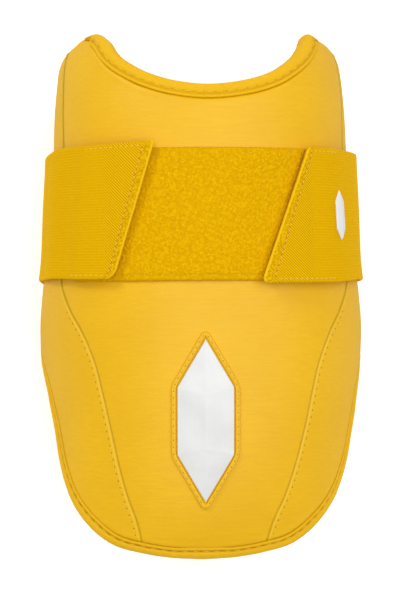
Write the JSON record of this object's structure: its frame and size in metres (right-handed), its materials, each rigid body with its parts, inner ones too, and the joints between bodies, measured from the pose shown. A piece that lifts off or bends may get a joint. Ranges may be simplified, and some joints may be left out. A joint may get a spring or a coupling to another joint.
{
  "type": "elbow guard",
  "caption": "Padded leather shell for the outside of an elbow, with bound edges and an elastic strap that closes on a loop patch across the front.",
  "frame": {"origin": "on the surface that the guard lies on, below the middle of its outline", "axes": "+Z out of the front of the guard, +Y from the rounded tongue to the scooped neckline, +X to the right of somebody who looks at the front"},
  "size_m": [0.127, 0.2008, 0.0822],
  "materials": {
    "leather": "smooth synthetic leather, soft sheen",
    "binding_tape": "knitted tape, matte",
    "loop_pile": "brushed loop pile, matte",
    "hook_tape": "moulded hooks on woven tape",
    "elastic": "woven elastic, matte",
    "white_rubber": "moulded, satin"
  },
  "bodies": {
    "root": {"front_panel": "leather", "side_panel_left": "leather", "side_panel_right": "leather", "neck_binding": "binding_tape", "rim_binding": "binding_tape", "loop_patch": "loop_pile", "hook_left": "hook_tape", "hook_right": "hook_tape", "strap": "elastic", "strap_badge": "white_rubber", "badge": "white_rubber", "badge_frame": "leather"}
  },
  "joints": []
}
